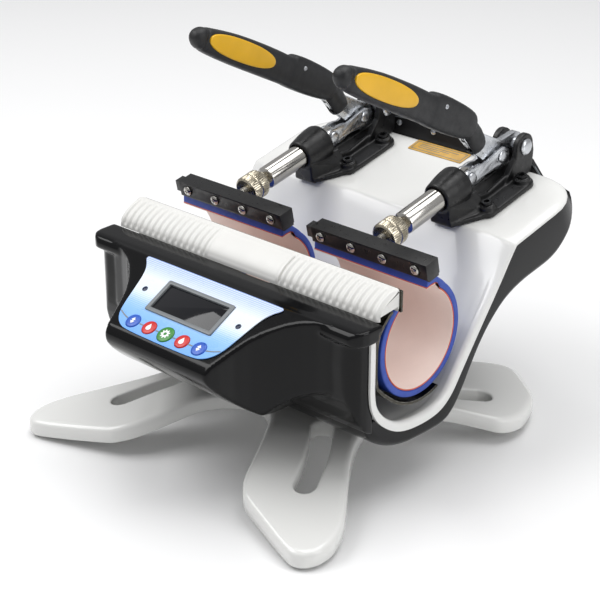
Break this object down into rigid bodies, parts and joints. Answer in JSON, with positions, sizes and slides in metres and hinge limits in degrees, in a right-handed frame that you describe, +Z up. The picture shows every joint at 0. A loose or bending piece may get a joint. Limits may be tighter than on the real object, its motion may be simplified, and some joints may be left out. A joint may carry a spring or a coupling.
{
  "type": "mug heat press",
  "caption": "Bench-top mug heat press: side-by-side heated wraps in a tray, pushed shut by toggle clamps with long grips, above a splayed stand with a sloped control panel.",
  "frame": {"origin": "centre of the bounding box in plan, at the underside of the foot pads", "axes": "+X to the right across both mug bays, +Y from the control panel to the back, +Z up"},
  "size_m": [0.334, 0.3843, 0.3476],
  "materials": {
    "white_gloss": "glossy moulded white",
    "rib_white": "satin off-white",
    "black_gloss": "piano black",
    "black_plastic": "satin black",
    "black_cast": "black powder coat",
    "grip_black": "fine texture",
    "grip_yellow": "plain",
    "galvanised": "zinc plated",
    "chrome": "polished",
    "nickel": "knurled, nickel over brass",
    "dark_steel": "dark oxide",
    "silicone_blue": "silicone",
    "liner_red": "thin heat-spreading liner",
    "label_blue": "printed film, white to blue",
    "lcd_grey": "moulded frame",
    "lcd_black": "smoked window",
    "button_blue": "membrane key",
    "button_red": "membrane key",
    "button_green": "membrane key",
    "amber": "blank warning plate",
    "board_green": "circuit board",
    "rubber_black": "matt"
  },
  "bodies": {
    "frame": {"base_stand": "white_gloss", "lower_shell": "black_gloss", "tray_deck": "white_gloss", "front_housing": "black_gloss", "ribbed_cover": "rib_white", "cover_strip": "dark_steel", "control_label": "label_blue", "lcd_bezel": "lcd_grey", "lcd_screen": "lcd_black", "control_board": "board_green", "power_board": "board_green", "rear_cover": "black_plastic", "caution_plate": "amber", "power_inlet": "black_plastic", "foot_pad_front_right": "rubber_black", "foot_pad_front_left": "rubber_black", "foot_pad_rear_right": "rubber_black", "foot_pad_rear_left": "rubber_black", "cradle_left": "dark_steel", "heater_wrap_left": "silicone_blue", "wrap_liner_left": "liner_red", "clamp_base_left": "black_cast", "pivot_pin_left": "galvanised", "cradle_right": "dark_steel", "heater_wrap_right": "silicone_blue", "wrap_liner_right": "liner_red", "clamp_base_right": "black_cast", "pivot_pin_right": "galvanised"},
    "power_switch": {"power_switch": "black_plastic"},
    "button_1": {"button_1": "button_blue"},
    "button_2": {"button_2": "button_red"},
    "button_3": {"button_3": "button_green"},
    "button_4": {"button_4": "button_red"},
    "button_5": {"button_5": "button_blue"},
    "lever_left": {"lever_left": "galvanised", "grip_left": "grip_black", "grip_inset_left": "grip_yellow"},
    "link_left": {"toggle_link_left": "galvanised", "lever_pin_left": "galvanised"},
    "plunger_left": {"plunger_left": "chrome", "plunger_pin_left": "galvanised", "pressure_bar_left": "black_cast", "bar_screw_1_left": "chrome", "bar_screw_2_left": "chrome", "bar_screw_3_left": "chrome", "bar_screw_4_left": "chrome"},
    "nut_left": {"adjust_nut_left": "nickel"},
    "lever_right": {"lever_right": "galvanised", "grip_right": "grip_black", "grip_inset_right": "grip_yellow"},
    "link_right": {"toggle_link_right": "galvanised", "lever_pin_right": "galvanised"},
    "plunger_right": {"plunger_right": "chrome", "plunger_pin_right": "galvanised", "pressure_bar_right": "black_cast", "bar_screw_1_right": "chrome", "bar_screw_2_right": "chrome", "bar_screw_3_right": "chrome", "bar_screw_4_right": "chrome"},
    "nut_right": {"adjust_nut_right": "nickel"}
  },
  "joints": [
    {"name": "lever_hinge_left", "type": "hinge", "parent": "frame", "child": "lever_left", "pos_m": [-0.0775, 0.17082, 0.22891], "axis": [-1, 0, 0], "range_deg": [0, 95]},
    {"name": "plunger_slide_left", "type": "slide", "parent": "frame", "child": "plunger_left", "axis": [0, 0.9781, 0.2079], "range_m": [0, 0.03156]},
    {"name": "link_hinge_left", "type": "hinge", "parent": "plunger_left", "child": "link_left", "pos_m": [-0.0775, 0.10587, 0.2151], "axis": [1, 0, 0], "range_deg": [0, 31.88]},
    {"name": "nut_spin_left", "type": "hinge", "parent": "plunger_left", "child": "nut_left", "pos_m": [-0.0775, 0.00893, 0.1945], "axis": [0, 0.9781, 0.2079], "continuous": true},
    {"name": "lever_hinge_right", "type": "hinge", "parent": "frame", "child": "lever_right", "pos_m": [0.0775, 0.17082, 0.22891], "axis": [-1, 0, 0], "range_deg": [0, 95]},
    {"name": "plunger_slide_right", "type": "slide", "parent": "frame", "child": "plunger_right", "axis": [0, 0.9781, 0.2079], "range_m": [0, 0.03156]},
    {"name": "link_hinge_right", "type": "hinge", "parent": "plunger_right", "child": "link_right", "pos_m": [0.0775, 0.10587, 0.2151], "axis": [1, 0, 0], "range_deg": [0, 31.88]},
    {"name": "nut_spin_right", "type": "hinge", "parent": "plunger_right", "child": "nut_right", "pos_m": [0.0775, 0.00893, 0.1945], "axis": [0, 0.9781, 0.2079], "continuous": true},
    {"name": "button_press_1", "type": "slide", "parent": "frame", "child": "button_1", "axis": [0, 0.454, -0.891], "range_m": [0, 0.001], "stiffness_N_per_m": 400},
    {"name": "button_press_2", "type": "slide", "parent": "frame", "child": "button_2", "axis": [0, 0.454, -0.891], "range_m": [0, 0.001], "stiffness_N_per_m": 400},
    {"name": "button_press_3", "type": "slide", "parent": "frame", "child": "button_3", "axis": [0, 0.454, -0.891], "range_m": [0, 0.001], "stiffness_N_per_m": 400},
    {"name": "button_press_4", "type": "slide", "parent": "frame", "child": "button_4", "axis": [0, 0.454, -0.891], "range_m": [0, 0.001], "stiffness_N_per_m": 400},
    {"name": "button_press_5", "type": "slide", "parent": "frame", "child": "button_5", "axis": [0, 0.454, -0.891], "range_m": [0, 0.001], "stiffness_N_per_m": 400},
    {"name": "switch_rock", "type": "hinge", "parent": "frame", "child": "power_switch", "pos_m": [-0.0225, 0.1839, 0.184], "axis": [1, 0, 0], "range_deg": [0, 10]}
  ],
  "couplings": [
    {"joint": "plunger_slide_left", "follows": "lever_hinge_left", "m_per_rad": 0.019026},
    {"joint": "link_hinge_left", "follows": "lever_hinge_left", "ratio": 0.33543},
    {"joint": "plunger_slide_right", "follows": "lever_hinge_right", "m_per_rad": 0.019026},
    {"joint": "link_hinge_right", "follows": "lever_hinge_right", "ratio": 0.33543}
  ]
}
